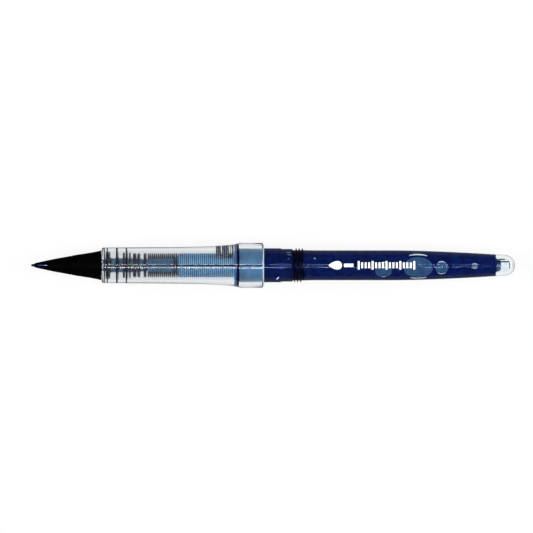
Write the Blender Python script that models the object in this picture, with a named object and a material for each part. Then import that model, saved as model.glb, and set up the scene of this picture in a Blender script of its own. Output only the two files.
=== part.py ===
"""Plastic-nib pen refill: nib, holder, clear grip housing, ink feed, threaded reservoir.

The pen's axis is X. The writing tip points to -X and the domed tail to +X, and the
origin is on the axis, halfway along. Every profile below gives stations in mm behind
the writing tip, with radii in mm.
"""

import math

import bmesh
import bpy
from mathutils import Matrix

MM = 0.001

# Driving dimensions, in mm.
LENGTH = 120.0
FIT = 0.08                    # radial gap of a sliding or pressed fit
FACE_GAP = 0.10               # axial gap between faces that rest on each other

NIB_SHOULDER = 10.03          # end of the nib's visible beak
NIB_PIVOT = 14.5              # the nib bends about this station
POINT_R = 0.40
WICK_R = 0.60
WICK_BORE_R = 0.70
SHANK_R = 1.70
SHANK_END = 15.6
COLLAR_HALF = 0.3
COLLAR_HEIGHT = 0.23

HOLDER_FRONT = 10.15
HOLDER_BASE_R = 3.70
HOLDER_SEAT = 15.9            # where the holder's bore narrows from the nib's to the feed's
NOSE_R = 1.50                 # the feed's nose goes through the housing and plugs into the holder
NOSE_FRONT = 16.1

HOUSING_FRONT = 17.55
LIP = 0.60                    # thickness of the housing's front wall
HOUSING_BORE_R = 3.70
FLANGE_R = 5.55
FLANGE_FRONT = 51.8
FLANGE_REAR = 57.8
COUNTERBORE_START = 51.1

SLIT_WIDTH = 0.30             # the capillary slit that runs along the feed
FEED_CORE_R = 1.75
COMB_FRONT = 26.35
COMB_CORE_R = 1.55
FIN_R = 3.00
FIN_PITCH = 0.50
FIN_THICKNESS = 0.24
FIRST_FIN = 28.9
FIN_COUNT = 43
VENT_FINS = range(34, 43)     # these also reach the bore on the +Y side
VENT_FIN_R = 3.60
VENT_SECTOR_COS = 0.8

FLANGE_BORE_R = 4.30
NECK_R = FLANGE_BORE_R - FIT
NECK_BORE_R = 3.44
NECK_STEP = 62.0
NECK_REAR_R = 4.05
NECK_BORE_END = 61.5          # the neck's bore tapers down to the tube's bore from here
TUBE_BORE_START = 64.5
THREAD_START = 65.0
THREAD_TURNS = 3.5
THREAD_PITCH = 0.75
THREAD_MINOR_R = 3.76
THREAD_MAJOR_R = 4.20
THREAD_RINGS_PER_TURN = 8
TUBE_R = 3.70
TUBE_WALL = 0.75
TAPER_START = 90.0
TAPER_POWER = 1.6
TAIL_R = 2.55
DOME_START = 117.4
INNER_END = 119.0
INK_END = 116.1
INK_CLEARANCE = 0.06

PLUG_FRONT = 51.85
PLUG_REAR = 57.4
STUB_R = 2.50                 # the comb's tail, which sits in the plug
STUB_REAR = 53.5
SOCKET_R = 2.60
NOZZLE_REAR = 60.6
NOZZLE_R = 1.30
WICK_FRONT = 13.5
WICK_REAR = 61.4

SHELL_SEGMENTS = 24
FEED_SEGMENTS = 12


def at(station):
    """X in metres of a station in mm behind the writing tip."""
    return (station - LENGTH / 2) * MM


def material(name, colour, roughness, metallic=0.0, clear=False):
    made = bpy.data.materials.new(name)
    made.use_nodes = True
    shader = made.node_tree.nodes["Principled BSDF"]
    shader.inputs["Base Color"].default_value = (*colour, 1.0)
    shader.inputs["Roughness"].default_value = roughness
    shader.inputs["Metallic"].default_value = metallic
    if clear:
        shader.inputs["Transmission Weight"].default_value = 1.0
        shader.inputs["IOR"].default_value = 1.5
    return made


def turned(name, profile, segments, finish, reshape=None):
    """A turned solid: a list of (station, radius), closed round a bore or from axis to axis.

    reshape(station, radius, angle) may give a new radius for a point, with the angle
    measured from +Y towards +Z.
    """
    shape = bmesh.new()
    points = [shape.verts.new((at(s), r * MM, 0.0)) for s, r in profile]
    ends_on_axis = profile[0][1] == 0.0 and profile[-1][1] == 0.0
    loop = zip(points, points[1:] if ends_on_axis else points[1:] + points[:1])
    edges = [shape.edges.new(pair) for pair in loop]
    bmesh.ops.spin(
        shape, geom=points + edges, axis=(1, 0, 0), cent=(0, 0, 0),
        steps=segments, angle=2 * math.pi, use_merge=True,
    )
    bmesh.ops.remove_doubles(shape, verts=shape.verts, dist=1e-7)
    if reshape:
        for vert in shape.verts:
            station = vert.co.x / MM + LENGTH / 2
            radius = math.hypot(vert.co.y, vert.co.z) / MM
            angle = math.atan2(vert.co.z, vert.co.y)
            scale = reshape(station, radius, angle) / radius if radius else 1.0
            vert.co.y *= scale
            vert.co.z *= scale
    bmesh.ops.recalc_face_normals(shape, faces=shape.faces)
    mesh = bpy.data.meshes.new(name)
    shape.to_mesh(mesh)
    shape.free()
    mesh.shade_smooth()
    mesh.set_sharp_from_angle(angle=math.radians(35))
    mesh.materials.append(finish)
    made = bpy.data.objects.new(name, mesh)
    bpy.context.scene.collection.objects.link(made)
    return made


def pivot_at(made, station):
    """Moves a piece's origin to a point on the axis, and leaves its shape where it is."""
    made.data.transform(Matrix.Translation((-at(station), 0.0, 0.0)))
    made.location.x = at(station)
    return made


def cut(target, cutter):
    """Takes cutter away from target. The cutter stays in the file as a hidden guide."""
    cutter.hide_render = True
    cutter.display_type = "WIRE"
    boolean = target.modifiers.new(cutter.name, "BOOLEAN")
    boolean.operation = "DIFFERENCE"
    boolean.solver = "EXACT"
    boolean.object = cutter


def slit_cutter(name, front, rear, width, top):
    """A blade from the axis out towards +Z, which cuts a slit between two stations."""
    bpy.ops.mesh.primitive_cube_add(size=1.0)
    made = bpy.context.object
    made.name = name
    made.scale = ((rear - front) * MM, width * MM, top * MM)
    made.location = (at((front + rear) / 2), 0.0, top / 2 * MM)
    return made


def arc(station, radius, centre_station, centre_radius, steps):
    """Points on an ellipse quarter from (centre_station, radius) round to (station, centre_radius)."""
    along, out = station - centre_station, radius - centre_radius
    turns = [math.pi / 2 * i / steps for i in range(steps + 1)]
    return [(centre_station + along * math.sin(t), centre_radius + out * math.cos(t)) for t in turns]


def tube_radius(station):
    """Outer radius of the reservoir behind its thread: straight, then tapering to the tail."""
    share = max(0.0, (station - TAPER_START) / (DOME_START - TAPER_START))
    return TUBE_R - (TUBE_R - TAIL_R) * share**TAPER_POWER


def nib_point(finish):
    """Hard capillary rod: its rounded front end is the writing tip."""
    rear = WICK_FRONT - FACE_GAP
    profile = [
        (0.0, 0.0), (0.03, 0.11), (0.12, 0.19), (0.35, 0.27), (1.0, POINT_R),
        (rear, POINT_R), (rear, 0.0),
    ]
    return pivot_at(turned("nib_point", profile, SHELL_SEGMENTS // 2, finish), NIB_PIVOT)


def nib_body(finish):
    """Springy beak round the point, with an ink window on top and a shank in the holder."""
    bore = POINT_R + 0.05
    socket = WICK_BORE_R + 0.05
    collar = (NIB_PIVOT - COLLAR_HALF, NIB_PIVOT + COLLAR_HALF)
    collar_r = SHANK_R + COLLAR_HEIGHT
    profile = [
        (0.95, bore), (0.98, 0.53), (2.3, 0.84), (4.3, 1.29), (6.3, 1.68), (8.2, 2.02), (9.6, 2.24),
        (NIB_SHOULDER, 2.18), (NIB_SHOULDER, SHANK_R),
        (collar[0], SHANK_R), (collar[0], collar_r), (collar[1], collar_r), (collar[1], SHANK_R),
        (SHANK_END, SHANK_R), (SHANK_END, socket), (13.0, socket), (13.0, bore),
    ]
    made = pivot_at(turned("nib_body", profile, SHELL_SEGMENTS, finish), NIB_PIVOT)
    cut(made, slit_cutter("ink_window_cutter", 1.9, 4.3, 0.34, 3.0))
    return made


def nib_holder(finish):
    """Black cone that carries the nib and is pressed over the feed's nose."""
    nib_bore = SHANK_R + 0.30
    nose_bore = NOSE_R + FIT
    base = HOUSING_FRONT - FACE_GAP
    profile = [
        (HOLDER_FRONT, nib_bore), (HOLDER_FRONT, 2.36), (HOLDER_FRONT + 0.15, 2.46), (12.2, 2.74),
        (15.0, 3.18), (16.4, 3.44), (base - 0.15, HOLDER_BASE_R), (base, HOLDER_BASE_R - 0.05),
        (base, nose_bore), (HOLDER_SEAT, nose_bore), (HOLDER_SEAT, nib_bore),
    ]
    return turned("nib_holder", profile, SHELL_SEGMENTS, finish)


def relay_wick(finish):
    """Fibre rod that carries ink from the reservoir along the feed to the nib."""
    profile = [
        (WICK_FRONT, 0.0), (WICK_FRONT, WICK_R - 0.1), (WICK_FRONT + 0.2, WICK_R),
        (WICK_REAR - 0.3, WICK_R), (WICK_REAR, WICK_R - 0.2), (WICK_REAR, 0.0),
    ]
    return turned("relay_wick", profile, FEED_SEGMENTS, finish)


def front_housing(finish):
    """Clear grip shell round the feed, flaring into the flange that stops at the barrel's mouth."""
    lip_rear = HOUSING_FRONT + LIP
    turns = [math.pi / 2 * i / 3 for i in range(4)]
    corner = [(HOUSING_FRONT + 0.5 * (1 - math.cos(t)), 3.95 + 0.45 * math.sin(t)) for t in turns]
    profile = [(HOUSING_FRONT, NOSE_R + FIT)] + corner + [
        (29.5, 4.48), (38.5, 4.56), (43.4, 4.68), (46.4, 4.84), (49.0, 5.02), (50.6, 5.22),
        (FLANGE_FRONT, FLANGE_R), (FLANGE_REAR - 0.45, FLANGE_R), (FLANGE_REAR, FLANGE_R - 0.7),
        (FLANGE_REAR, FLANGE_BORE_R), (COUNTERBORE_START, FLANGE_BORE_R),
        (COUNTERBORE_START, HOUSING_BORE_R), (lip_rear, HOUSING_BORE_R), (lip_rear, NOSE_R + FIT),
    ]
    return turned("front_housing", profile, SHELL_SEGMENTS, finish)


def discs(core, blades):
    """The outer profile of a core that carries blades, each (front, rear, radius)."""
    profile = []
    for front, rear, radius in blades:
        profile += [(front, core), (front, radius), (rear, radius), (rear, core)]
    return profile


def front_feed(finish):
    """Coarse baffles behind the nib: they catch the first ink that is pushed out of the comb."""
    disc_front = HOUSING_FRONT + LIP + 0.45
    end = COMB_FRONT - FACE_GAP
    blades = [
        (disc_front, disc_front + 1.0, 3.45), (21.0, 21.6, 3.60), (22.7, 23.2, 3.20),
        (23.5, 23.9, 3.60), (24.25, 24.6, 3.20), (25.2, 26.0, FIN_R),
    ]
    profile = [(NOSE_FRONT, WICK_BORE_R), (NOSE_FRONT, NOSE_R), (disc_front, NOSE_R)]
    profile += discs(FEED_CORE_R, blades)[1:]
    profile += [(end, FEED_CORE_R), (end, WICK_BORE_R)]
    made = turned("front_feed", profile, FEED_SEGMENTS, finish)
    cut(made, slit_cutter("front_slit_cutter", HOUSING_FRONT + 0.9, end + 1.0, SLIT_WIDTH, 5.0))
    return made


def comb_radius(station, radius, angle):
    """Lifts the tips of the vent fins to the bore over a sector on the +Y side."""
    index = (station - FIRST_FIN) / FIN_PITCH
    fin = math.floor(index + 0.01)
    on_tip = radius > FIN_R - 0.01 and 0 <= fin < FIN_COUNT
    if on_tip and fin in VENT_FINS and math.cos(angle) > VENT_SECTOR_COS:
        return VENT_FIN_R
    return radius


def comb_collector(finish):
    """Fine comb that stores surplus ink between its fins, with the disc that closes the chamber."""
    blades = [(COMB_FRONT + 0.02, COMB_FRONT + 0.6, FIN_R), (27.9, 28.5, FIN_R)]
    for index in range(FIN_COUNT):
        front = FIRST_FIN + index * FIN_PITCH
        blades.append((front, front + FIN_THICKNESS, FIN_R))
    wall_front = COUNTERBORE_START - 0.5
    wall_rear = COUNTERBORE_START - 0.05
    wall_r = HOUSING_BORE_R - FIT
    profile = [(COMB_FRONT, WICK_BORE_R), (COMB_FRONT, COMB_CORE_R)]
    profile += discs(COMB_CORE_R, blades)
    profile += [
        (wall_front, COMB_CORE_R), (wall_front, wall_r), (wall_rear, wall_r), (wall_rear, STUB_R),
        (STUB_REAR, STUB_R), (STUB_REAR, WICK_BORE_R),
    ]
    made = turned("comb_collector", profile, FEED_SEGMENTS, finish, comb_radius)
    cut(made, slit_cutter("comb_slit_cutter", FIRST_FIN - 0.1, STUB_REAR + 1.0, SLIT_WIDTH, 5.0))
    return made


def seal_ring(finish):
    """Rubber ring squeezed between the housing's shoulder and the reservoir's neck."""
    front, rear = COUNTERBORE_START + 0.05, PLUG_FRONT - FACE_GAP
    outer = FLANGE_BORE_R - FACE_GAP
    profile = [(front, SOCKET_R), (front, outer), (rear, outer), (rear, SOCKET_R)]
    return turned("seal_ring", profile, SHELL_SEGMENTS, finish)


def tank_plug(finish):
    """Bush pressed into the neck: it holds the comb's tail and carries the wick into the ink."""
    outer = NECK_BORE_R - FIT
    socket_end = STUB_REAR + 0.2
    profile = [
        (PLUG_FRONT, SOCKET_R), (PLUG_FRONT, outer), (PLUG_REAR - 0.3, outer), (PLUG_REAR, outer - 0.3),
        (PLUG_REAR, NOZZLE_R + 0.3), (NOZZLE_REAR, NOZZLE_R), (NOZZLE_REAR, WICK_BORE_R),
        (socket_end, WICK_BORE_R), (socket_end, SOCKET_R),
    ]
    made = turned("tank_plug", profile, SHELL_SEGMENTS, finish)
    cut(made, slit_cutter("plug_slit_cutter", PLUG_FRONT - 1.0, PLUG_REAR + 1.0, SLIT_WIDTH, 5.0))
    return made


def thread_radius(station, radius, angle):
    """A right-hand V thread, fading in and out over a quarter turn at its ends."""
    length = THREAD_TURNS * THREAD_PITCH
    share = (station - THREAD_START) / length
    if not 0.0 < share < 1.0 or radius < THREAD_MINOR_R - 0.01:
        return radius
    phase = (station - THREAD_START) / THREAD_PITCH - angle / (2 * math.pi)
    ridge = abs(2.0 * (phase % 1.0) - 1.0)
    fade = min(1.0, share * 4 * THREAD_TURNS, (1 - share) * 4 * THREAD_TURNS)
    return THREAD_MINOR_R + (THREAD_MAJOR_R - THREAD_MINOR_R) * ridge * fade


def ink_reservoir(finish):
    """Clear tube that holds the ink: neck, barrel thread, tapering body and domed tail."""
    rings = round(THREAD_TURNS * THREAD_RINGS_PER_TURN)
    thread_end = THREAD_START + THREAD_TURNS * THREAD_PITCH
    step = THREAD_PITCH / THREAD_RINGS_PER_TURN
    thread = [(THREAD_START + i * step, THREAD_MINOR_R) for i in range(rings + 1)]
    stations = [TAPER_START + i * (DOME_START - TAPER_START) / 7 for i in range(7)]
    body = [(s, tube_radius(s)) for s in stations]
    dome = arc(LENGTH, TAIL_R, DOME_START, 0.0, 6)
    inner_dome = arc(INNER_END, TAIL_R - TUBE_WALL, DOME_START, 0.0, 4)[::-1]
    inner_body = [(s, r - TUBE_WALL) for s, r in body[::-2]]
    dome[-1] = (LENGTH, 0.0)
    inner_dome[0] = (INNER_END, 0.0)
    front = PLUG_FRONT - 0.05
    profile = (
        [(front, NECK_BORE_R), (front, NECK_R - 0.1), (front + 0.1, NECK_R), (NECK_STEP, NECK_R),
         (NECK_STEP + 0.1, NECK_REAR_R), (THREAD_START - 0.3, NECK_REAR_R)]
        + thread + [(thread_end + 3.0, TUBE_R)] + body + dome
    )
    inside = inner_dome + inner_body + [(TUBE_BORE_START, TUBE_R - TUBE_WALL), (NECK_BORE_END, NECK_BORE_R)]
    return turned("ink_reservoir", profile + inside, SHELL_SEGMENTS, finish, thread_radius)


def ink_charge(finish):
    """The ink itself: it fills the reservoir round the plug's nozzle, up to an air pocket."""
    gap = TUBE_WALL + INK_CLEARANCE
    front = PLUG_REAR + FACE_GAP
    stations = [TAPER_START + i * (INK_END - TAPER_START) / 4 for i in range(5)]
    body = [(s, tube_radius(s) - gap) for s in stations]
    hole = NOZZLE_R + 0.4
    neck = NECK_BORE_R - INK_CLEARANCE
    profile = (
        [(WICK_REAR + 0.2, 0.0), (WICK_REAR + 0.2, hole), (front, hole), (front, neck),
         (NECK_BORE_END, neck), (TUBE_BORE_START, TUBE_R - gap)]
        + body + [(INK_END, 0.0)]
    )
    return turned("ink_charge", profile, SHELL_SEGMENTS, finish)


def build():
    for old in list(bpy.data.objects):
        bpy.data.objects.remove(old)
    black = material("black_plastic", (0.006, 0.006, 0.007), 0.25)
    smoke = material("ink_wet_point", (0.02, 0.05, 0.12), 0.12)
    clear = material("clear_plastic", (0.93, 0.95, 0.97), 0.05, clear=True)
    feed = material("feed_plastic", (0.16, 0.26, 0.36), 0.35)
    fibre = material("ink_soaked_fibre", (0.01, 0.015, 0.05), 0.9)
    rubber = material("seal_rubber", (0.005, 0.006, 0.015), 0.6)
    ink = material("blue_black_ink", (0.003, 0.008, 0.07), 0.1)
    nib_point(smoke)
    nib_body(black)
    nib_holder(black)
    relay_wick(fibre)
    front_housing(clear)
    front_feed(feed)
    comb_collector(feed)
    seal_ring(rubber)
    tank_plug(feed)
    ink_reservoir(clear)
    ink_charge(ink)


build()
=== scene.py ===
"""Looks for the pen refill: a finer piece for each CAD node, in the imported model's frame.

Stations are in mm behind the writing tip and radii are in mm, as in the CAD source.
The pen lies along X with its tip at -X. The camera looks straight down, with +Y up.
"""

import math

import bmesh
import bpy
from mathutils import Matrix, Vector


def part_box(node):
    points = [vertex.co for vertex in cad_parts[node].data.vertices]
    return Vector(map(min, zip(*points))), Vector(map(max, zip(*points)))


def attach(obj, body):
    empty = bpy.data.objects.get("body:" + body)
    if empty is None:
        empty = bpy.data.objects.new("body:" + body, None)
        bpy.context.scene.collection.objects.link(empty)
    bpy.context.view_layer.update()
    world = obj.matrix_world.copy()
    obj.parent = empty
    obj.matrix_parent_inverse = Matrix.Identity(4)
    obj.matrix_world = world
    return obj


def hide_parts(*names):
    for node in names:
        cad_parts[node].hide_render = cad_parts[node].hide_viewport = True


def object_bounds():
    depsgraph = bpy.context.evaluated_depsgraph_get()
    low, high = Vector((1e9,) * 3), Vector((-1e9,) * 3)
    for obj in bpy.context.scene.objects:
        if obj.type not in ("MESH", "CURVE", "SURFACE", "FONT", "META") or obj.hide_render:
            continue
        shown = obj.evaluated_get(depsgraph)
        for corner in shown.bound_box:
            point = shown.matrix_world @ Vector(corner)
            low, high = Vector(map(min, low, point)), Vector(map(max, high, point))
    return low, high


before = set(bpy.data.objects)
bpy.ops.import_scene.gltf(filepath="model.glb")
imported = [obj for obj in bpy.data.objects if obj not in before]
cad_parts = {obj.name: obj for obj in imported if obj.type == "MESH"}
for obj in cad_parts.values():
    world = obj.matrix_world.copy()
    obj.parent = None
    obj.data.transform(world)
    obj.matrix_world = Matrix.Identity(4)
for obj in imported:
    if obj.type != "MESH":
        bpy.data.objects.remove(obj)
cad_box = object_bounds()

MM = 0.001
TIP_X = cad_box[0].x
LENGTH = (cad_box[1].x - TIP_X) / MM
ROUND = 96                    # segments of a turned piece
SHARP = 35                    # degrees, from which an edge between two faces stays sharp


def node_station(node, end):
    """Station of a CAD node's front (end 0) or rear (end 1)."""
    return (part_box(node)[end].x - TIP_X) / MM


def node_radius(node):
    """Largest radius of a CAD node."""
    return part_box(node)[1].z / MM


HOUSING_FRONT = node_station("front_housing", 0)
FLANGE_FRONT = 51.8
FLANGE_REAR = node_station("front_housing", 1)
FLANGE_R = node_radius("front_housing")
CHAMFER_LENGTH = 0.45         # the flange's rear chamfer
CHAMFER_DEPTH = 0.7
LIP_REAR = HOUSING_FRONT + 0.6
BORE_R = 3.70
NOSE_R = 1.50
FIT = 0.08
FLANGE_BORE_R = 4.30
COUNTERBORE_START = 51.1
SOCKET_R = 2.6                # bore of the seal and of the plug, round the comb's foot
WICK_BORE_R = 0.7

NECK_R = node_radius("ink_reservoir")
NECK_STEP_R = 4.05            # the neck just in front of the thread
NECK_BORE_R = 3.44
NECK_BORE_END = 61.5          # where the bore starts to narrow
TUBE_BORE_START = 64.5        # where it has narrowed to the tube's bore
THREAD_START = 65.0
THREAD_TURNS = 3.5
THREAD_PITCH = 0.75
THREAD_MINOR_R = 3.76
THREAD_MAJOR_R = 4.20
TUBE_R = 3.70
TUBE_WALL = 0.75
TAPER_START = 90.0
TAPER_POWER = 1.6
TAIL_R = 2.55
DOME_START = 117.4
INNER_END = 119.0
INK_FRONT = 57.70             # where the ink starts behind the plug
INK_EDGE = 115.2              # where the ink leaves the wall
INK_END = 115.5
MENISCUS_END = 116.55
WETTING = 0.015               # how far a wetted piece reaches into the wall it wets

FEED_CORE_R = 1.75
COMB_CORE_R = 1.55
CORE_OVERLAP = 0.05           # how far fins and held ink reach into the comb's core
FIN_R = 3.00
FIN_PITCH = 0.50
FIN_THICKNESS = 0.22
FIRST_FIN = 28.9
FIN_COUNT = 43
LAST_DARK_FIN = 14            # the fins up to this one are stained and look thicker
FIN_CLEARANCE = 0.005         # between a fin and the ink beside it
DISC_FRONT = 50.6             # the disc that closes the comb's chamber
DISC_REAR = 51.05
VENT_FINS = range(34, 43)     # these reach the bore on the +Y side
VENT_RING = (1.2, 1.3)        # where the rings that close the vents start, inside the core
VENT_GAPS = (36, 40, 41)      # the gaps behind these fins stay open
SLIT_WIDTH = 0.38
SLIT_TOP = 5.0                # beyond every piece that has a slit
FEED_SLIT_START = 18.45
COMB_SLIT_START = FIRST_FIN - 0.3
COMB_SLIT_END = 54.5

# Baffles of the coarse feed: front, rear, radius, and the size of the foot on each side.
BAFFLES = (
    (21.1, 21.55, BORE_R + WETTING, 0.28), (22.75, 23.15, 3.20, 0.12),
    (23.5, 23.85, BORE_R + WETTING, 0.08), (24.3, 24.6, 3.20, 0.08), (25.25, 26.0, FIN_R, 0.10),
)

# Bubbles: station, angle from +Z towards +Y in degrees, half length in mm, half angle in degrees.
BUBBLES = (
    (87.4, -22.0, 2.2, 40.0), (96.0, -12.0, 3.75, 56.0),
    (101.8, -13.0, 1.65, 34.0), (110.0, -4.0, 0.7, 15.0),
)

# Painted highlights on the bubbles' rims: how far out they lie at a bubble's top and at its
# bottom, and their half thickness, all as shares of the bubble's own size. Then how far each
# runs to both sides of its middle, in degrees.
RIM_HIGHLIGHTS = (
    (0.90, 0.93, 0.02, 20), (1.24, 1.13, 0.09, 29), (0.93, 0.96, 0.05, 38), (0.90, 0.90, 0.12, 75),
)

GRAIN_WAVES = 6000.0          # waves a metre in the grain of moulded plastic
GRAIN_DEPTH = 2e-6            # metres
LIQUID_DEPTH = 1e-7           # a liquid's surface is far smoother

# Plain finishes: darkest colour, lightest colour, range of roughness, specular and grain depth.
PLAIN = {
    "black_plastic": (
        (0.0003, 0.0003, 0.0004), (0.0007, 0.0007, 0.0008), (0.40, 0.5), 0.01, GRAIN_DEPTH),
    "wet_ink": ((0.001, 0.002, 0.01), (0.002, 0.004, 0.02), (0.05, 0.12), 0.12, GRAIN_DEPTH),
    "feed_core": ((0.08, 0.29, 0.52), (0.17, 0.45, 0.70), (0.3, 0.5), 0.3, GRAIN_DEPTH),
    "ink_stained_plastic": (
        (0.001, 0.003, 0.02), (0.004, 0.010, 0.06), (0.1, 0.2), 0.15, GRAIN_DEPTH),
    "plug_plastic": ((0.11, 0.40, 0.76), (0.18, 0.50, 0.88), (0.3, 0.5), 0.2, GRAIN_DEPTH),
    "held_ink": ((0.19, 0.50, 0.80), (0.30, 0.62, 0.92), (0.2, 0.35), 0.2, GRAIN_DEPTH),
    "ink_soaked_fibre": (
        (0.002, 0.004, 0.02), (0.005, 0.009, 0.035), (0.8, 0.95), 0.2, GRAIN_DEPTH),
    "dark_ink": (
        (0.0003, 0.0005, 0.004), (0.0006, 0.001, 0.008), (0.3, 0.4), 0.02, GRAIN_DEPTH),
    "seal_rubber": ((0.0005, 0.001, 0.025), (0.001, 0.003, 0.05), (0.4, 0.6), 0.05, GRAIN_DEPTH),
    "ink": ((0.0006, 0.006, 0.065), (0.0013, 0.012, 0.115), (0.02, 0.06), 0.05, LIQUID_DEPTH),
    "bubble_film": ((0.024, 0.07, 0.19), (0.036, 0.10, 0.24), (0.05, 0.10), 0.1, LIQUID_DEPTH),
    "thin_ink": ((0.012, 0.035, 0.11), (0.05, 0.12, 0.26), (0.05, 0.10), 0.1, LIQUID_DEPTH),
    "vent_ink": ((0.16, 0.20, 0.30), (0.36, 0.38, 0.44), (0.3, 0.4), 0.1, GRAIN_DEPTH),
    "faint_print": ((0.10, 0.22, 0.30), (0.16, 0.30, 0.38), (0.4, 0.6), 0.2, GRAIN_DEPTH),
    # Painted highlight: the colour of the pale beads along the bubbles' rims.
    "bubble_painted_glint": ((0.60, 0.75, 0.90), (0.85, 0.95, 1.0), (0.1, 0.2), 0.3, LIQUID_DEPTH),
    # Painted highlight: the pale ring on the flange's rear chamfer.
    "chamfer_highlight": ((0.26, 0.40, 0.50), (0.34, 0.48, 0.58), (0.4, 0.6), 0.1, GRAIN_DEPTH),
    "white_print": ((0.85, 0.85, 0.83), (0.96, 0.96, 0.94), (0.4, 0.6), 0.4, GRAIN_DEPTH),
}

# Colours along the window's ink, and along the comb's fins, each as (station, colour).
# The window's colours paint its highlight: a dim purple streak, then a pale cyan one at its rear.
WINDOW_INK_AND_HIGHLIGHT_COLOURS = (
    (1.6, (0.04, 0.02, 0.16)), (2.6, (0.07, 0.05, 0.35)), (3.0, (0.02, 0.05, 0.16)),
    (3.5, (0.06, 0.20, 0.50)), (4.1, (0.35, 0.75, 0.85)),
)
FIN_COLOURS = (
    (28.9, (0.002, 0.004, 0.025)), (35.4, (0.003, 0.008, 0.05)), (36.6, (0.03, 0.12, 0.28)),
    (50.3, (0.035, 0.14, 0.34)), (50.6, (0.05, 0.22, 0.58)),
)
# Painted light: a paler stripe along the middle of the front fins, lifting the shade that falls in
# their deep gaps.
FIN_PAINTED_STRIPE = ((0.08, 0.28, 0.54), 1.5, 35.6)     # colour, half width, and where it ends


def at(station):
    return TIP_X + station * MM


def smooth_step(low, high, value):
    share = min(1.0, max(0.0, (value - low) / (high - low)))
    return share * share * (3 - 2 * share)


def tube_radius(station):
    """Outer radius of the reservoir behind its thread."""
    share = max(0.0, (station - TAPER_START) / (DOME_START - TAPER_START))
    return TUBE_R - (TUBE_R - TAIL_R) * share**TAPER_POWER


def cavity_radius(station):
    """Radius of the reservoir's bore, with its round end."""
    share = max(0.0, (station - DOME_START) / (INNER_END - DOME_START))
    return (tube_radius(station) - TUBE_WALL) * math.sqrt(max(0.0, 1 - share**2))


def ink_radius(station):
    """Radius of what wets the reservoir's bore, in front of its round end."""
    return tube_radius(station) - TUBE_WALL + WETTING


# Materials


def shader_nodes(name):
    """A new material, with its node tree and its Principled shader."""
    made = bpy.data.materials.new(name)
    made.use_nodes = True
    return made, made.node_tree, made.node_tree.nodes["Principled BSDF"]


def maths(tree, operation, *terms):
    """A math node. Its terms are sockets or plain numbers."""
    made = tree.nodes.new("ShaderNodeMath")
    made.operation = operation
    for socket, term in zip(made.inputs, terms):
        if isinstance(term, bpy.types.NodeSocket):
            tree.links.new(term, socket)
        else:
            socket.default_value = term
    return made.outputs["Value"]


def spread(tree, value, low, high, new_low=0.0, new_high=1.0):
    """Maps the range from low to high onto the new one, and clamps."""
    made = tree.nodes.new("ShaderNodeMapRange")
    made.inputs["From Min"].default_value = low
    made.inputs["From Max"].default_value = high
    made.inputs["To Min"].default_value = new_low
    made.inputs["To Max"].default_value = new_high
    tree.links.new(value, made.inputs["Value"])
    return made.outputs["Result"]


def noise(tree, scale, detail=3.0):
    """A noise texture in the piece's own space. scale is in waves a metre."""
    place = tree.nodes.new("ShaderNodeTexCoord")
    made = tree.nodes.new("ShaderNodeTexNoise")
    made.inputs["Scale"].default_value = scale
    made.inputs["Detail"].default_value = detail
    tree.links.new(place.outputs["Object"], made.inputs["Vector"])
    return made.outputs["Fac"]


def vary_colour(tree, shader, source, dark, light):
    ramp = tree.nodes.new("ShaderNodeValToRGB")
    for element, position, colour in zip(ramp.color_ramp.elements, (0.35, 0.65), (dark, light)):
        element.position = position
        element.color = (*colour, 1.0)
    tree.links.new(source, ramp.inputs["Fac"])
    tree.links.new(ramp.outputs["Color"], shader.inputs["Base Color"])


def vary_roughness(tree, shader, source, low, high):
    tree.links.new(spread(tree, source, 0.3, 0.7, low, high), shader.inputs["Roughness"])


def add_bump(tree, shader, source, depth):
    """Bumps from a texture, of a depth in metres."""
    bump = tree.nodes.new("ShaderNodeBump")
    bump.inputs["Strength"].default_value = 0.6
    bump.inputs["Distance"].default_value = depth
    tree.links.new(source, bump.inputs["Height"])
    tree.links.new(bump.outputs["Normal"], shader.inputs["Normal"])


def plain(name):
    """Plastic, rubber, fibre, print or ink: mottled colour, uneven gloss and a fine grain."""
    dark, light, roughness, specular, depth = PLAIN[name]
    made, tree, shader = shader_nodes(name)
    vary_colour(tree, shader, noise(tree, GRAIN_WAVES / 8), dark, light)
    vary_roughness(tree, shader, noise(tree, GRAIN_WAVES / 3), *roughness)
    add_bump(tree, shader, noise(tree, GRAIN_WAVES), depth)
    shader.inputs["Specular IOR Level"].default_value = specular
    return made


def clear_plastic(name, tint, roughness, ior, gloss_tint=(1.0, 1.0, 1.0)):
    """Clear moulded plastic: uneven in tint and gloss, with flow ripples too low to be seen."""
    ripple = 1e-9
    made, tree, shader = shader_nodes(name)
    vary_colour(tree, shader, noise(tree, 250.0), [0.985 * t for t in tint], tint)
    vary_roughness(tree, shader, noise(tree, 200.0), 0.7 * roughness, roughness)
    add_bump(tree, shader, noise(tree, 350.0, 1.0), ripple)
    shader.inputs["Transmission Weight"].default_value = 1.0
    shader.inputs["IOR"].default_value = ior
    shader.inputs["Specular Tint"].default_value = (*gloss_tint, 1.0)
    return made


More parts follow.
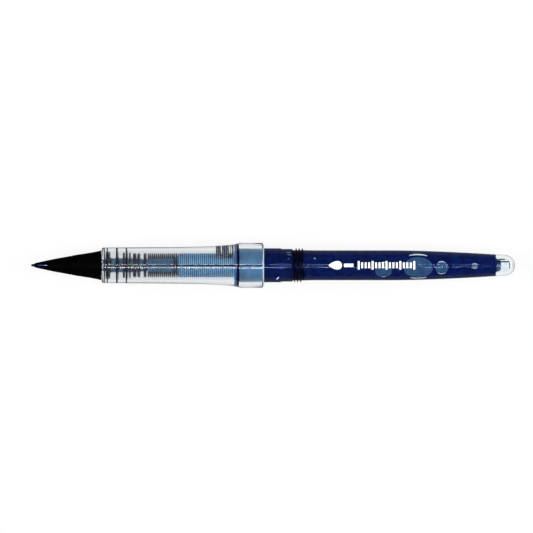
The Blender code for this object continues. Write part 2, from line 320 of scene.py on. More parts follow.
def graded(name, stops, roughness, specular=0.3, painted_stripe=None):
    """Plastic or ink whose colour changes along the pen, through stops of (station, colour).

    painted_stripe gives (colour, half_width, rear) for a paler stripe of painted light along the
    pen, up to a station.
    """
    made, tree, shader = shader_nodes(name)
    first, last = stops[0][0], stops[-1][0]
    place = tree.nodes.new("ShaderNodeTexCoord")
    split = tree.nodes.new("ShaderNodeSeparateXYZ")
    tree.links.new(place.outputs["Object"], split.inputs["Vector"])
    ramp = tree.nodes.new("ShaderNodeValToRGB")
    while len(ramp.color_ramp.elements) < len(stops):
        ramp.color_ramp.elements.new(0.5)
    for element, (station, colour) in zip(ramp.color_ramp.elements, stops):
        element.position = (station - first) / (last - first)
        element.color = (*colour, 1.0)
    tree.links.new(spread(tree, split.outputs["X"], at(first), at(last)), ramp.inputs["Fac"])
    colour = ramp.outputs["Color"]
    if painted_stripe:
        colour = add_painted_stripe(tree, split, colour, *painted_stripe)
    tree.links.new(colour, shader.inputs["Base Color"])
    vary_roughness(tree, shader, noise(tree, 4000.0), *roughness)
    add_bump(tree, shader, noise(tree, 3000.0), 1e-6)
    shader.inputs["Specular IOR Level"].default_value = specular
    return made


def add_painted_stripe(tree, split, colour, pale, half_width, rear):
    """Mixes a stripe of painted light into a colour where the piece is near the axis in Y, up to a
    station.
    """
    side_fade, end_fade = 0.15, 0.3
    aside = maths(tree, "ABSOLUTE", split.outputs["Y"])
    inside = spread(tree, aside, (half_width + side_fade) * MM, (half_width - side_fade) * MM)
    ahead = spread(tree, split.outputs["X"], at(rear + end_fade), at(rear - end_fade))
    mix = tree.nodes.new("ShaderNodeMix")
    mix.data_type = "RGBA"
    mix.inputs["B"].default_value = (*pale, 1.0)
    tree.links.new(maths(tree, "MULTIPLY", inside, ahead), mix.inputs["Factor"])
    tree.links.new(colour, mix.inputs["A"])
    return mix.outputs["Result"]


# Shapes


def circle(count, turn=2 * math.pi):
    """Evenly spaced angles round a turn, without its end."""
    return [turn * index / count for index in range(count)]


def softened(profile, size, closed=True, steps=3):
    """The profile with each of its corners rounded off by about that size."""
    made = []
    for index, point in enumerate(profile):
        is_end = index in (0, len(profile) - 1) and not closed
        here = Vector(point)
        before = Vector(profile[index - 1]) - here
        after = Vector(profile[(index + 1) % len(profile)]) - here
        if is_end or point[1] == 0.0 or before.angle(after) > math.radians(160):
            made.append(point)
            continue
        start = here + before.normalized() * min(size, 0.4 * before.length)
        end = here + after.normalized() * min(size, 0.4 * after.length)
        for step in range(steps + 1):
            t = step / steps
            made.append(tuple((1 - t) ** 2 * start + 2 * t * (1 - t) * here + t * t * end))
    return made


def add_turned(shape, profile, reshape=None, closed=True, segments=ROUND):
    """Adds a turned solid to a bmesh. reshape(radius, angle) may change a radius."""
    rings = []
    for station, radius in profile:
        if radius < 1e-9:
            rings.append([shape.verts.new((at(station), 0.0, 0.0))])
            continue
        ring = []
        for angle in circle(segments):
            out = (reshape(radius, angle) if reshape else radius) * MM
            point = (at(station), out * math.cos(angle), out * math.sin(angle))
            ring.append(shape.verts.new(point))
        rings.append(ring)
    pairs = zip(rings, rings[1:] + rings[:1] if closed else rings[1:])
    for first, second in pairs:
        if len(first) == len(second) == 1:
            continue
        for index in range(segments):
            after = (index + 1) % segments
            corners = [first[index % len(first)], first[after % len(first)],
                       second[after % len(second)], second[index % len(second)]]
            shape.faces.new(list(dict.fromkeys(corners)))


def add_sides(shape, rings):
    """Skins a row of rings that each have the same number of points."""
    count = len(rings[0])
    for first, second in zip(rings, rings[1:]):
        for index in range(count):
            after = (index + 1) % count
            shape.faces.new([first[index], first[after], second[after], second[index]])


def join_rings(shape, rings):
    """Skins a row of rings and caps its ends."""
    add_sides(shape, rings)
    shape.faces.new(rings[0])
    shape.faces.new(rings[-1])


def finished(shape, name, finish, sharp=SHARP):
    """Makes a bmesh into an object, smooth except at its sharp edges."""
    bmesh.ops.recalc_face_normals(shape, faces=shape.faces)
    mesh = bpy.data.meshes.new(name)
    shape.to_mesh(mesh)
    shape.free()
    mesh.shade_smooth()
    mesh.set_sharp_from_angle(angle=math.radians(sharp))
    mesh.materials.append(finish)
    made = bpy.data.objects.new(name, mesh)
    bpy.context.scene.collection.objects.link(made)
    return made


def turned(name, profile, finish, segments=ROUND):
    """A turned piece, from a profile that closes on itself or runs from axis to axis."""
    shape = bmesh.new()
    on_axis = profile[0][1] == 0.0 and profile[-1][1] == 0.0
    add_turned(shape, profile, closed=not on_axis, segments=segments)
    return finished(shape, name, finish)


def carve(piece, cutter):
    """Takes cutter away from piece for good. The cut's faces keep the cutter's material."""
    if cutter.data.materials and cutter.data.materials[0] not in list(piece.data.materials):
        piece.data.materials.append(cutter.data.materials[0])
    boolean = piece.modifiers.new("carve", "BOOLEAN")
    boolean.operation = "DIFFERENCE"
    boolean.solver = "EXACT"
    boolean.material_mode = "TRANSFER"
    boolean.object = cutter
    bpy.context.view_layer.update()
    seen = piece.evaluated_get(bpy.context.evaluated_depsgraph_get())
    cut = bpy.data.meshes.new_from_object(seen)
    piece.modifiers.clear()
    piece.data = cut
    cut.name = piece.name
    cut.shade_smooth()
    cut.set_sharp_from_angle(angle=math.radians(SHARP))
    bpy.data.objects.remove(cutter)


def blade(front, rear, width, top, finish):
    """A round-ended blade from the axis out towards +Z, for cutting a slit."""
    shape = bmesh.new()
    half = width / 2
    outline = []
    for centre, start in ((rear - half, -90), (front + half, 90)):
        for step in range(9):
            angle = math.radians(start + 22.5 * step)
            outline.append((centre + half * math.cos(angle), half * math.sin(angle)))
    low = [shape.verts.new((at(s), y * MM, 0.0)) for s, y in outline]
    high = [shape.verts.new((at(s), y * MM, top * MM)) for s, y in outline]
    shape.faces.new(low[::-1])
    shape.faces.new(high)
    for index in range(len(outline)):
        after = (index + 1) % len(outline)
        shape.faces.new([low[index], low[after], high[after], high[index]])
    return finished(shape, "blade", finish)


def cut_slit(piece, front, rear, wet):
    """Cuts the slit that carries ink along the feed. Its walls are wet."""
    carve(piece, blade(front, rear, SLIT_WIDTH, SLIT_TOP, wet))


def show(piece, body, slot, *nodes):
    """Puts a piece on its body and hides the CAD nodes that it stands for."""
    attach(piece, body)
    if nodes:
        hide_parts(*nodes)


# Nib and holder


def nib(black, wet, bead_with_highlight):
    shoulder, shank_r = 10.06, 1.82
    body = [
        (0.95, 0.45), (0.98, 0.53), (1.6, 0.69), (2.3, 0.84), (3.3, 1.06), (4.3, 1.28),
        (5.3, 1.49), (6.3, 1.68), (7.2, 1.85), (8.2, 2.02), (9.2, 2.20), (9.9, 2.34),
        (shoulder, 2.33), (shoulder, shank_r), (10.8, shank_r), (11.2, 1.70),
        (15.6, 1.70), (15.6, 0.75), (13.0, 0.75), (13.0, 0.45),
    ]
    beak = turned("nib_beak", softened(body, 0.08), black)
    # The rear face nearly meets the holder at the sides, and leaves room at +Z and -Z to bend.
    side_reach, lean = 0.08, 0.036
    for vertex in beak.data.vertices:
        is_outside = math.hypot(vertex.co.y, vertex.co.z) > 1.7 * MM
        if at(10.0) < vertex.co.x < at(10.2) and is_outside:
            vertex.co.x += side_reach * MM - lean * abs(vertex.co.z)
    carve(beak, blade(1.5, 4.2, 0.22, 3.0, wet))
    show(beak, "nib", "nib_plastic", "nib_body")
    rear, rod_r = node_station("nib_point", 1), 0.40
    point = [(0.0, 0.0), (0.02, 0.10), (0.09, 0.18), (0.25, 0.25), (0.55, 0.33),
             (1.0, rod_r), (rear, rod_r), (rear, 0.0)]
    rod = turned("nib_rod", point, wet, segments=48)
    show(rod, "nib", "wet_point", "nib_point")
    # The window's ink gets the finish that paints its highlight.
    show(window_bead(bead_with_highlight), "nib", "wet_point")


def window_bead(finish):
    """The ink that stands in the nib's window, thicker towards its rear end."""
    shape = bmesh.new()
    front, rear, half, depth = 1.55, 4.15, 0.10, 0.25
    start, start_r, slope = 1.6, 0.69, 0.222     # the beak's surface round the window
    sections = []
    steps = 24
    for index in range(1, steps):
        share = index / steps
        station = front + (rear - front) * share
        width = half * (1 - abs(2 * share - 1) ** 6) ** 0.5
        level = start_r + (station - start) * slope - 0.06 + 0.03 * share
        arch = 0.05 + 0.03 * share
        section = []
        for angle in circle(16):
            height = level + (arch if math.sin(angle) > 0 else depth) * math.sin(angle)
            point = (at(station), width * math.cos(angle) * MM, height * MM)
            section.append(shape.verts.new(point))
        sections.append(section)
    join_rings(shape, sections)
    return finished(shape, "window_bead", finish)


def holder(black):
    base = HOUSING_FRONT - 0.1
    bore = NOSE_R + FIT
    profile = [
        (10.15, 2.0), (10.15, 2.36), (10.3, 2.42), (11.2, 2.59), (12.2, 2.74), (13.6, 2.96),
        (15.0, 3.18), (16.0, 3.37), (16.7, 3.51), (base - 0.12, 3.70), (base, 3.66),
        (base, bore), (15.9, bore), (15.9, 2.0),
    ]
    cone = turned("holder_cone", softened(profile, 0.07), black)
    show(cone, "holder", "holder_plastic", "nib_holder")


# Grip section


def housing(clear):
    turns = [math.pi / 2 * i / 8 for i in range(9)]
    corner = [(HOUSING_FRONT + 0.5 * (1 - math.cos(t)), 3.95 + 0.45 * math.sin(t)) for t in turns]
    profile = [(HOUSING_FRONT, NOSE_R + FIT)] + corner + [
        (24.0, 4.44), (29.5, 4.48), (34.0, 4.51), (38.5, 4.56), (41.0, 4.61), (43.4, 4.68),
        (45.0, 4.75), (46.4, 4.84), (47.8, 4.93), (49.0, 5.02), (49.9, 5.11), (50.6, 5.22),
        (51.2, 5.36), (FLANGE_FRONT, FLANGE_R), (FLANGE_REAR - CHAMFER_LENGTH, FLANGE_R),
        (FLANGE_REAR, FLANGE_R - CHAMFER_DEPTH), (FLANGE_REAR, FLANGE_BORE_R),
        (COUNTERBORE_START, FLANGE_BORE_R), (COUNTERBORE_START, BORE_R),
        (LIP_REAR, BORE_R), (LIP_REAR, NOSE_R + FIT),
    ]
    shell = turned("grip_shell", softened(profile, 0.10), clear, segments=2 * ROUND)
    show(shell, "grip", "clear_shell", "front_housing")


def coarse_feed(core, wet):
    """The feed's front end: a pale core with ink-stained baffles and a film of ink at the lip."""
    wall = BORE_R + WETTING
    rear = node_station("front_feed", 1)
    profile = [(16.1, WICK_BORE_R), (16.1, NOSE_R), (18.6, NOSE_R), (19.6, FEED_CORE_R),
               (rear, FEED_CORE_R), (rear, WICK_BORE_R)]
    piece = turned("feed_core", softened(profile, 0.05, steps=2), core)
    cut_slit(piece, FEED_SLIT_START, rear + 1.0, wet)
    show(piece, "grip", "feed_plastic", "front_feed")

    inner = FEED_CORE_R - 0.1
    first = [(18.6, 1.4), (18.6, 3.3), (18.75, 3.45), (18.8, wall), (19.1, wall), (19.15, 3.45),
             (19.6, 3.3), (19.6, 2.2), (19.9, inner), (19.9, 1.4)]
    shape = bmesh.new()
    add_turned(shape, softened(first, 0.05, steps=2))
    film_front, film_rear, film_inner = LIP_REAR + 0.02, LIP_REAR + 0.2, 1.52
    add_turned(shape, [(film_front, film_inner), (film_front, wall),
                       (film_rear, wall), (film_rear, film_inner)])
    for front, back, rim, foot in BAFFLES:
        foot_r = inner + 0.1 + 2 * foot
        disc = [(front - foot, inner), (front, foot_r), (front, rim),
                (back, rim), (back, foot_r), (back + foot, inner)]
        add_turned(shape, softened(disc, 0.04, steps=2))
    baffles = finished(shape, "feed_baffles", wet)
    cut_slit(baffles, FEED_SLIT_START, rear + 1.0, wet)
    show(baffles, "grip", "feed_plastic")


def fin_edges(index):
    """Where one of the comb's fins starts and ends."""
    front = FIRST_FIN + index * FIN_PITCH
    return front, front + (FIN_THICKNESS if index > LAST_DARK_FIN else 1.2 * FIN_THICKNESS)


def gap_edges(index):
    """Where the ink behind one of the comb's fins starts and ends."""
    front = fin_edges(index)[1] + FIN_CLEARANCE
    return front, min(fin_edges(index + 1)[0] - FIN_CLEARANCE, DISC_FRONT - 0.01)


def to_bore(radius, angle):
    """Raises a thin ring to the bore on the +Y side, and leaves the rest of it in the core."""
    raised_inner, raised_outer = FIN_R - 0.25, BORE_R + WETTING
    target = raised_outer if radius > VENT_RING[0] else raised_inner
    side_from, side_to = 0.46, 0.56          # cosines of the angle from +Y where the side starts
    return radius + (target - radius) * smooth_step(side_from, side_to, math.cos(angle))


def add_vent(shape, front, rear):
    """Adds one of the thin rings that reach the bore on the +Y side."""
    low, high = VENT_RING
    add_turned(shape, [(front, low), (front, high), (rear, high), (rear, low)], to_bore)


def comb(core, fins, wet):
    """The fine comb: a pale core, two collars, the fins and the disc that closes the chamber."""
    front = node_station("comb_collector", 0)
    foot_front, foot_rear, foot_r = 50.8, 53.5, 2.5
    profile = [(front, WICK_BORE_R), (front, COMB_CORE_R), (foot_front, COMB_CORE_R),
               (foot_front, foot_r), (foot_rear, foot_r), (foot_rear, WICK_BORE_R)]
    piece = turned("comb_core", softened(profile, 0.03, steps=1), core)
    cut_slit(piece, COMB_SLIT_START, COMB_SLIT_END, wet)
    show(piece, "grip", "feed_plastic", "comb_collector")

    inner = COMB_CORE_R - CORE_OVERLAP
    shape = bmesh.new()
    for near, far in ((front, front + 0.6), (27.9, 28.5)):
        collar = [(near, inner), (near, FIN_R), (far, FIN_R), (far, inner)]
        add_turned(shape, softened(collar, 0.04, steps=2))
    show(finished(shape, "comb_collars", wet), "grip", "feed_plastic")

    shape = bmesh.new()
    for index in range(FIN_COUNT):
        near, far = fin_edges(index)
        fin = [(near, inner), (near + 0.02, FIN_R), (far - 0.02, FIN_R), (far, inner)]
        add_turned(shape, softened(fin, 0.03, steps=1))
    wall = BORE_R + WETTING
    disc = [(DISC_FRONT, inner), (DISC_FRONT, wall), (DISC_REAR, wall), (DISC_REAR, inner)]
    add_turned(shape, softened(disc, 0.04, steps=2))
    comb_fins = finished(shape, "comb_fins", fins)
    cut_slit(comb_fins, COMB_SLIT_START, COMB_SLIT_END, wet)
    show(comb_fins, "grip", "feed_plastic")

    # The tall vent fins, and ink that clings round the last two dark fins.
    shape = bmesh.new()
    for index in VENT_FINS:
        add_vent(shape, *fin_edges(index))
    cling = 0.02
    for index in (LAST_DARK_FIN - 1, LAST_DARK_FIN):
        near, far = fin_edges(index)
        near -= cling
        add_turned(shape, [(near, 1.6), (near, FIN_R + cling), (far, FIN_R + cling), (far, 1.6)])
    show(finished(shape, "vent_tips", wet), "grip", "feed_plastic")


def slit_ink(finish):
    """Ink that stands in the comb's slit, a little wider than the slit itself."""
    shape = bmesh.new()
    half, low, high = 0.6 * SLIT_WIDTH, 1.3, FIN_R - 0.01
    ends = []
    for station in (FIRST_FIN, DISC_FRONT - 0.02):
        corners = ((-half, low), (half, low), (half, high), (-half, high))
        ends.append([shape.verts.new((at(station), y * MM, z * MM)) for y, z in corners])
    join_rings(shape, ends)
    show(finished(shape, "slit_ink", finish), "grip", "feed_plastic")


def held_ink(finish, vent_finish):
    """Ink that the comb holds: a ring in each gap, fuller towards the reservoir."""
    shape = bmesh.new()
    inside = COMB_CORE_R - CORE_OVERLAP
    fills_from, fills_to = 35.2, 36.2        # the gaps go from nearly empty to full here
    least, room, hollow = 0.07, 0.12, 0.04
    for index in range(FIN_COUNT):
        front, rear = gap_edges(index)
        uneven = 0.5 * math.sin(1.7 * index) * math.sin(0.61 * index)
        share = smooth_step(fills_from, fills_to, front + uneven)
        outside = inside + least + (FIN_R - inside - room) * share
        ring = [(front, inside), (front, outside), ((front + rear) / 2, outside - hollow),
                (rear, outside), (rear, inside)]
        add_turned(shape, ring)
    show(finished(shape, "held_ink", finish), "grip", "feed_plastic")

    shape = bmesh.new()
    for index in VENT_FINS:
        if index not in VENT_GAPS:
            add_vent(shape, *gap_edges(index))
    show(finished(shape, "vent_ink", vent_finish), "grip", "feed_plastic")


def wick(finish):
    front, rear = node_station("relay_wick", 0), node_station("relay_wick", 1)
    profile = [(front, 0.0), (front, 0.5), (front + 0.2, 0.6), (rear - 0.3, 0.6),
               (rear, 0.4), (rear, 0.0)]
    show(turned("wick", profile, finish, segments=48), "grip", "wick_fibre", "relay_wick")


def flange_edge(finish):
    """A thin pale ring that lies on the flange's rear chamfer, painted as the highlight along that
    edge.
    """
    front, rear = FLANGE_REAR - 0.27, FLANGE_REAR - 0.03
    above, below = 0.012, 0.05
    slope = CHAMFER_DEPTH / CHAMFER_LENGTH
    line = [(s, FLANGE_R - (s - FLANGE_REAR + CHAMFER_LENGTH) * slope) for s in (front, rear)]
    profile = [(s, r + above) for s, r in line] + [(s, r - below) for s, r in line[::-1]]
    show(turned("flange_edge", profile, finish), "grip", "clear_shell")


def seal(finish):
    front, rear = node_station("seal_ring", 0), node_station("seal_ring", 1)
    out = FLANGE_BORE_R + WETTING
    profile = [(front, SOCKET_R), (front, out), (rear, out), (rear, SOCKET_R)]
    ring = turned("seal", softened(profile, 0.08), finish)
    show(ring, "grip", "seal_rubber", "seal_ring")


def plug(finish, wet):
    front, rear = node_station("tank_plug", 0), node_station("tank_plug", 1)
    shoulder, socket_end = 57.4, 53.7
    wall = NECK_BORE_R + WETTING
    profile = [
        (front, SOCKET_R), (front, wall - 0.1), (front + 0.15, wall), (shoulder - 0.2, wall),
        (shoulder, wall - 0.2), (shoulder, 1.6), (rear, 1.3), (rear, WICK_BORE_R),
        (socket_end, WICK_BORE_R), (socket_end, SOCKET_R),
    ]
    piece = turned("plug", softened(profile, 0.06), finish)
    cut_slit(piece, front - 1.0, shoulder + 1.0, wet)
    show(piece, "grip", "plug_plastic", "tank_plug")


# Reservoir


def thread_rib(finish):
    """The barrel thread: a right-hand helical rib that fades in and out at its ends."""
    shape = bmesh.new()
    around = 72
    steps = round(THREAD_TURNS * around)
    root = THREAD_MINOR_R - 0.05
    section = ((-0.22, 0.0), (-0.15, 0.55), (-0.10, 0.97), (0.0, 1.0),
               (0.10, 0.97), (0.15, 0.55), (0.22, 0.0), (0.0, -0.1))
    fade = 4 * THREAD_TURNS      # each end fades over a quarter of a turn
    rings = []
    for step in range(1, steps):
        share = step / steps
        angle = 2 * math.pi * step / around
        height = (THREAD_MAJOR_R - root) * min(1.0, fade * share, fade * (1 - share))
        ring = []
        for along, up in section:
            out = (root + up * height) * MM
            x = at(THREAD_START + THREAD_TURNS * THREAD_PITCH * share + along)
            ring.append(shape.verts.new((x, out * math.cos(angle), out * math.sin(angle))))
        rings.append(ring)
    join_rings(shape, rings)
    # The rib is drawn in the dark ink colour as painted shade, for the dark that its clear ridges
    # show.
    show(finished(shape, "thread_rib", finish, sharp=60), "tank", "ink")


def quarter(centre, end, radius, steps):
    """Points of a dome, from (centre, radius) round to (end, 0)."""
    dome = [(centre + (end - centre) * math.sin(t), radius * math.cos(t))
            for t in circle(steps, math.pi / 2)]
    return dome + [(end, 0.0)]


def reservoir(clear):
    front = node_station("ink_reservoir", 0)
    end = THREAD_START + THREAD_TURNS * THREAD_PITCH
    stations = [TAPER_START + i * (DOME_START - TAPER_START) / 24 for i in range(24)]
    body = [(s, tube_radius(s)) for s in stations]
    neck = [(front, NECK_BORE_R), (front, NECK_R - 0.1), (front + 0.1, NECK_R), (61.9, NECK_R),
            (62.1, NECK_STEP_R), (64.7, NECK_STEP_R)]
    profile = softened(neck, 0.06, closed=False)
    profile += [(THREAD_START, THREAD_MINOR_R), (end, THREAD_MINOR_R), (70.2, TUBE_R)] + body
    profile += quarter(DOME_START, LENGTH, TAIL_R, 16)
    profile += quarter(DOME_START, INNER_END, TAIL_R - TUBE_WALL, 12)[::-1]
    profile += [(s, r - TUBE_WALL) for s, r in body[::-1]]
    profile += [(TUBE_BORE_START, TUBE_R - TUBE_WALL), (NECK_BORE_END, NECK_BORE_R)]
    tube = turned("reservoir_tube", profile, clear, segments=2 * ROUND)
    show(tube, "tank", "clear_tank", "ink_reservoir")


def ink(finish):
    """The ink wets the bore. Its front clears the plug's nozzle and its rear leaves the wall."""
    stations = [TAPER_START + i * (INK_EDGE - TAPER_START) / 20 for i in range(21)]
    nozzle_r, nozzle_end = 1.7, 61.6
    wall = NECK_BORE_R + WETTING
    profile = [(nozzle_end, 0.0), (nozzle_end, nozzle_r), (INK_FRONT, nozzle_r),
               (INK_FRONT, wall), (NECK_BORE_END, wall)]
    profile += [(s, ink_radius(s)) for s in [TUBE_BORE_START] + stations]
    profile += [(INK_END, ink_radius(INK_EDGE) - 0.3), (INK_END, 0.0)]
    show(turned("ink", profile, finish), "tank", "ink", "ink_charge")


def meniscus(finish):
    """The thin curved end of the ink, which is paler than the rest."""
    start = INK_END - 0.1
    edge = ink_radius(INK_EDGE) - 0.35
    nose = [(INK_END + (MENISCUS_END - INK_END) * math.cos(t), edge * math.sin(t) ** 0.5)
            for t in (math.pi / 2 * i / 14 for i in range(14, 0, -1))]
    profile = [(start, 0.0), (start, edge)] + nose + [(MENISCUS_END, 0.0)]
    show(turned("meniscus", profile, finish), "tank", "ink")


def ink_traces(finish):
    """Ink left in the air pocket: two runnels along its upper side and a drop at its end."""
    runnels = []
    for front, rear, y, half in ((115.4, 118.4, 0.82, 0.14), (116.0, 117.5, 1.32, 0.11)):
        runnels.append([(s, y + offset) for s, offset in bar(front, rear, half)])
    show(raised(runnels, "ink_runnels", finish, cavity_radius), "tank", "ink")
    edge = INNER_END - 0.24
    stations = [edge + (INNER_END - edge) * i / 6 for i in range(6)]
    cap = [(s, cavity_radius(s) + WETTING) for s in stations] + [(INNER_END + WETTING, 0.0)]
    show(turned("end_drop", cap + [(edge + 0.06, 0.0)], finish), "tank", "ink")


def bubble_point(bubble, turn, share, lift):
    """A point of a bubble that lies on the bore. share is 0 at its middle and 1 at its rim."""
    station, middle, half_length, half_angle = bubble
    station += half_length * share * math.cos(turn)
    angle = math.radians(middle + half_angle * share * math.sin(turn))
    out = (ink_radius(station) + lift) * MM
    return (at(station), out * math.sin(angle), out * math.cos(angle))


def bubbles(film, glint):
    """Air bubbles, pressed flat against the bore on the +Z side, with painted highlights along
    their rims.
    """
    crown, floor = 0.05, -0.04    # how far a bubble's middle and its inner side lie off the bore
    shape = bmesh.new()
    for bubble in BUBBLES:
        dome = [(i / 16, crown * (1 - (i / 16) ** 2)) for i in range(1, 16)]
        bowl = [(share, floor) for share, _ in dome[::-1]]
        rings = []
        for share, lift in dome + [(1.0, -0.01)] + bowl:
            rings.append([shape.verts.new(bubble_point(bubble, turn, share, lift))
                          for turn in circle(48)])
        join_rings(shape, rings)
    show(finished(shape, "bubbles", film), "tank", "ink")

    shape = bmesh.new()
    for bubble, (top, bottom, thick, half_turn) in zip(BUBBLES, RIM_HIGHLIGHTS):
        add_rim_highlight(shape, bubble, top, thick, 90, half_turn)
        add_rim_highlight(shape, bubble, bottom, thick, -90, half_turn)
    show(finished(shape, "bubble_rim_highlights", glint), "tank", "ink")


def add_rim_highlight(shape, bubble, share, thick, side, half_turn):
    """A painted highlight on a bubble's rim: a pale bead centred on one side of it, tapered to its
    ends.
    """
    lift, half_height = 0.035, 0.03
    rings = []
    steps = 24
    for step in range(steps + 1):
        turn = math.radians(side - half_turn + 2 * half_turn * step / steps)
        across = thick * math.sin(math.pi * min(max(step, 0.5), steps - 0.5) / steps) ** 0.5
        section = [(share + across * math.cos(t), lift + half_height * math.sin(t))
                   for t in circle(8)]
        rings.append([shape.verts.new(bubble_point(bubble, turn, *point)) for point in section])
    join_rings(shape, rings)


def bar(front, rear, half):
    """Outline of a straight bar, with extra points along its two ends."""
    steps = max(2, round(2 * half / 0.2))
    side = [(-half + 2 * half * i / steps) for i in range(steps + 1)]
    return [(rear, y) for y in side] + [(front, y) for y in side[::-1]]


def drop(station, size):
    """Outline of a drop that lies on its side, with its point towards the tip."""
    half_length, half_width = size * 0.62, size * 0.5
    made = []
    for angle in circle(40):
        bulge = (0.5 * (1 + math.cos(angle))) ** 0.5
        made.append((station + half_length * math.cos(angle), half_width * math.sin(angle) * bulge))
    return made


def printed_marks(finish):
    """Generic print on the reservoir: a drop, a bar, and a level scale of ticks."""
    outlines = [drop(75.4, 2.7), bar(77.6, 79.9, 0.40)]
    first, pitch, tick_width, long_half, short_half = 81.0, 0.86, 0.46, 1.05, 0.72
    for index in range(17):
        station = first + pitch * index
        half = long_half if index % 4 == 0 else short_half
        outlines.append(bar(station, station + tick_width, half))
    show(raised(outlines, "printed_marks", finish, tube_radius), "tank", "clear_tank")


def neck_and_tube_marks(finish, faint):
    """Small plain marks: a slanted stroke and dashes on the neck, a speck behind the thread."""
    long, thin = 0.32, 0.06
    # A short white slanted stroke on the neck, in the print colour.
    stroke = [(61.2 + long * math.cos(t) - thin * math.sin(t),
               -3.22 + long * math.cos(t) + thin * math.sin(t)) for t in circle(24)]
    show(raised([stroke], "neck_stroke", finish, lambda station: NECK_R), "tank", "clear_tank")
    dashes = []
    for front, rear, half, y in ((63.4, 64.3, 0.05, 3.15), (63.6, 64.5, 0.05, 2.6),
                                 (63.7, 64.0, 0.06, 1.6)):
        dashes.append([(s, y + offset) for s, offset in bar(front, rear, half)])
    made = raised(dashes, "neck_dashes", faint, lambda station: NECK_STEP_R)
    show(made, "tank", "clear_tank")
    speck = [(70.35 + 0.2 * math.cos(t), 1.7 + 0.2 * math.sin(t)) for t in circle(16)]
    show(raised([speck], "tube_speck", faint, tube_radius), "tank", "clear_tank")


def raised(outlines, name, finish, outside):
    """Thin raised patches in the shapes of the outlines, on the +Z side of a round surface."""
    shape = bmesh.new()
    low, high = -0.03, 0.018
    for outline in outlines:
        middle = [sum(values) / len(outline) for values in zip(*outline)]
        rings = []
        for scale, lift in ((1.0, low), (1.0, high), (0.7, high), (0.35, high)):
            ring = [[m + (value - m) * scale for m, value in zip(middle, point)]
                    for point in outline]
            rings.append([surface_point(shape, x, y, lift, outside) for x, y in ring])
        add_sides(shape, rings)
        for ring, lift in ((rings[-1], high), (rings[0], low)):
            centre = surface_point(shape, *middle, lift, outside)
            for index in range(len(outline)):
                shape.faces.new([ring[index], ring[(index + 1) % len(outline)], centre])
    return finished(shape, name, finish, sharp=50)


def surface_point(shape, station, y, lift, outside):
    """A point on the +Z side of a round surface, raised by lift. outside(station) is its radius."""
    radius = outside(station) + lift
    return shape.verts.new((at(station), y * MM, math.sqrt(radius**2 - y**2) * MM))


# Studio


def soft_box(name, place, size, radiance):
    """A rectangular light that faces the pen. size is along X and across, if it hangs overhead."""
    light = bpy.data.lights.new(name, "AREA")
    light.shape = "RECTANGLE"
    light.size, light.size_y = size
    light.energy = radiance * math.pi * size[0] * size[1]
    made = bpy.data.objects.new(name, light)
    made.location = place
    made.rotation_euler = Vector(place).to_track_quat("Z", "Y").to_euler()
    bpy.context.scene.collection.objects.link(made)


def reflected(tree, path):
    """1 in a glossy reflection and 0 elsewhere."""
    return maths(tree, "MULTIPLY", path["Is Reflection Ray"], path["Is Glossy Ray"])


def dim_in_gloss(tree, shader, strength, in_gloss):
    """The floor glows, and it glows less in reflections, as if dark flags stood beside the pen."""
    path = tree.nodes.new("ShaderNodeLightPath").outputs
    glow = spread(tree, reflected(tree, path), 0.0, 1.0, strength, in_gloss)
    tree.links.new(glow, shader.inputs["Emission Strength"])


def backdrop(tree, seen, light, in_gloss):
    """Surroundings that are pale to look at, and dim as a light and in reflections.

    They are also pale through clear plastic, but not after a bounce off something solid.
    """
    path = tree.nodes.new("ShaderNodeLightPath").outputs
    looked_at = maths(tree, "MAXIMUM", path["Is Camera Ray"], path["Is Transmission Ray"])
    before_bounce = maths(tree, "LESS_THAN", path["Diffuse Depth"], 0.5)
    pale = maths(tree, "MULTIPLY", looked_at, before_bounce)
    strength = maths(tree, "MULTIPLY_ADD", pale, seen - light, light)
    strength = maths(tree, "MULTIPLY_ADD", reflected(tree, path), in_gloss - light, strength)
    tree.links.new(strength, tree.nodes["Background"].inputs["Strength"])


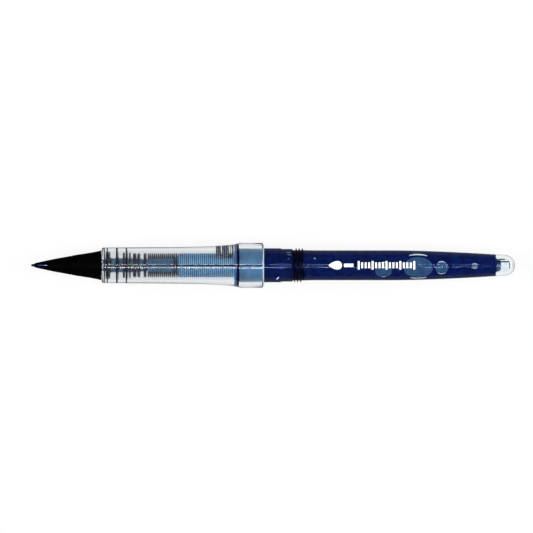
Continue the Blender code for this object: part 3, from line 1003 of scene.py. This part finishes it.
def studio():
    white = (1.0, 1.0, 1.0, 1.0)
    half_floor = 8.0
    shape = bmesh.new()
    height = cad_box[0].z - 2e-5
    corners = ((-1, -1), (1, -1), (1, 1), (-1, 1))
    shape.faces.new([shape.verts.new((x * half_floor, y * half_floor, height)) for x, y in corners])
    made, tree, shader = shader_nodes("studio_floor")
    shader.inputs["Base Color"].default_value = (0.08, 0.08, 0.08, 1.0)
    shader.inputs["Roughness"].default_value = 0.9
    shader.inputs["Specular IOR Level"].default_value = 0.0
    shader.inputs["Emission Color"].default_value = white
    dim_in_gloss(tree, shader, strength=0.88, in_gloss=0.05)
    finished(shape, "studio_floor", made)

    world = bpy.data.worlds.new("studio")
    bpy.context.scene.world = world
    world.use_nodes = True
    world.node_tree.nodes["Background"].inputs["Color"].default_value = white
    backdrop(world.node_tree, seen=0.90, light=0.10, in_gloss=0.02)

    # Two long strips beside the camera draw the twin lines along the pen, and a panel
    # beyond each end of the pen lights the edges that face it.
    soft_box("strip_low", (0.0, -0.165, 0.60), (1.6, 0.04), 12.0)
    soft_box("strip_high", (0.0, 0.04, 0.60), (1.6, 0.03), 7.0)
    soft_box("panel_tip", (-0.80, 0.0, 0.30), (0.6, 1.0), 7.0)
    soft_box("panel_tail", (0.80, 0.0, 0.30), (0.6, 1.0), 7.0)

    view = bpy.data.cameras.new("camera")
    view.lens = 1000.0
    view.sensor_width = 36.0
    view.clip_end = 20.0
    camera = bpy.data.objects.new("camera", view)
    camera.location = (-0.0016, -0.0003, 3.67)
    bpy.context.scene.collection.objects.link(camera)
    bpy.context.scene.camera = camera
    bpy.context.scene.view_settings.view_transform = "Standard"
    bpy.context.scene.view_settings.look = "None"


def main():
    look = {name: plain(name) for name in PLAIN}
    # The window's ink carries a painted highlight.
    bead_with_highlight = graded("window_ink_and_highlight", WINDOW_INK_AND_HIGHLIGHT_COLOURS, (0.04, 0.10))
    # The comb's fins carry a stripe of painted light.
    fins = graded("comb_fins", FIN_COLOURS, (0.3, 0.5), 0.2, FIN_PAINTED_STRIPE)
    shell = clear_plastic("clear_shell", (0.84, 0.87, 0.89), 0.035, 1.5)
    tank = clear_plastic("clear_tank", (0.87, 0.92, 0.955), 0.025, 1.4, (0.45, 0.6, 1.0))

    nib(look["black_plastic"], look["wet_ink"], bead_with_highlight)
    holder(look["black_plastic"])
    housing(shell)
    coarse_feed(look["feed_core"], look["ink_stained_plastic"])
    comb(look["feed_core"], fins, look["ink_stained_plastic"])
    held_ink(look["held_ink"], look["vent_ink"])
    slit_ink(look["dark_ink"])
    wick(look["ink_soaked_fibre"])
    seal(look["seal_rubber"])
    plug(look["plug_plastic"], look["ink_stained_plastic"])
    flange_edge(look["chamfer_highlight"])
    reservoir(tank)
    ink(look["ink"])
    meniscus(look["thin_ink"])
    ink_traces(look["dark_ink"])
    bubbles(look["bubble_film"], look["bubble_painted_glint"])
    # The thread gets the dark ink colour as painted shade.
    thread_rib(look["dark_ink"])
    printed_marks(look["white_print"])
    neck_and_tube_marks(look["white_print"], look["faint_print"])
    studio()


main()
